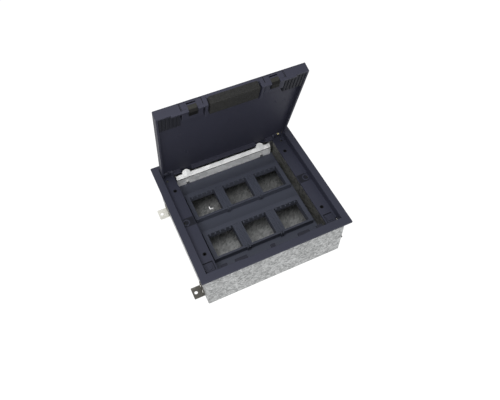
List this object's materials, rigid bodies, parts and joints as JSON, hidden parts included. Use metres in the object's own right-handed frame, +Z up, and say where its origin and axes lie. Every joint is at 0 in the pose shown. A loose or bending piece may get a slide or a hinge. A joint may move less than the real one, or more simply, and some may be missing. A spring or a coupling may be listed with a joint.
{
  "type": "floor socket box",
  "caption": "Flush floor box for wiring accessories: galvanised back box with lugs, moulded trim frame, deck with square module openings, hinged lid with sliding catches and a foam cable flap.",
  "frame": {"origin": "centre of the back box's underside, on the floor it stands on; it is the bottom centre of the whole part's bounding box", "axes": "+Z up, +Y towards the lid's hinge, +X to the right when facing the hinge"},
  "size_m": [0.282, 0.24, 0.2902],
  "materials": {
    "galvanised": "hot-dip galvanised, mottled spangle",
    "zinc_steel": "bright zinc plated",
    "blue_grey_plastic": "fine moulded texture, satin",
    "black_plastic": "satin",
    "brass": "turned",
    "foam": "open-cell foam, matt"
  },
  "bodies": {
    "housing": {"back_box": "galvanised", "floor_lugs": "galvanised", "lug_rivets": "zinc_steel", "clamp_brackets": "galvanised", "clamp_screws": "zinc_steel", "earth_stud": "zinc_steel", "earth_washers": "zinc_steel", "earth_nuts": "zinc_steel", "trim_frame": "blue_grey_plastic", "hinge_pin_right": "brass", "hinge_pin_left": "brass", "cradle_right": "galvanised", "cradle_left": "galvanised", "cradle_screws": "zinc_steel", "deck": "blue_grey_plastic", "deck_screws": "zinc_steel", "socket_frame_front": "blue_grey_plastic", "socket_frame_rear": "blue_grey_plastic", "rear_rail": "galvanised", "rail_screws": "zinc_steel"},
    "lid": {"lid_tray": "blue_grey_plastic", "lid_stiffener": "galvanised", "catch_cover_right": "blue_grey_plastic", "catch_cover_left": "blue_grey_plastic"},
    "right_catch": {"catch_right": "black_plastic"},
    "left_catch": {"catch_left": "black_plastic"},
    "flap": {"cable_flap": "blue_grey_plastic", "foam_seal": "foam"}
  },
  "joints": [
    {"name": "lid_hinge", "type": "hinge", "parent": "housing", "child": "lid", "pos_m": [0, 0.1043, 0.0871], "axis": [-1, 0, 0], "range_deg": [-73.2, 20.8]},
    {"name": "catch_slide_right", "type": "slide", "parent": "lid", "child": "right_catch", "axis": [0, -0.289, 0.9573], "range_m": [0, 0.004]},
    {"name": "catch_slide_left", "type": "slide", "parent": "lid", "child": "left_catch", "axis": [0, -0.289, 0.9573], "range_m": [0, 0.004]},
    {"name": "flap_hinge", "type": "hinge", "parent": "lid", "child": "flap", "pos_m": [0, 0.05685, 0.25777], "axis": [-1, 0, 0], "range_deg": [0, 90]}
  ]
}
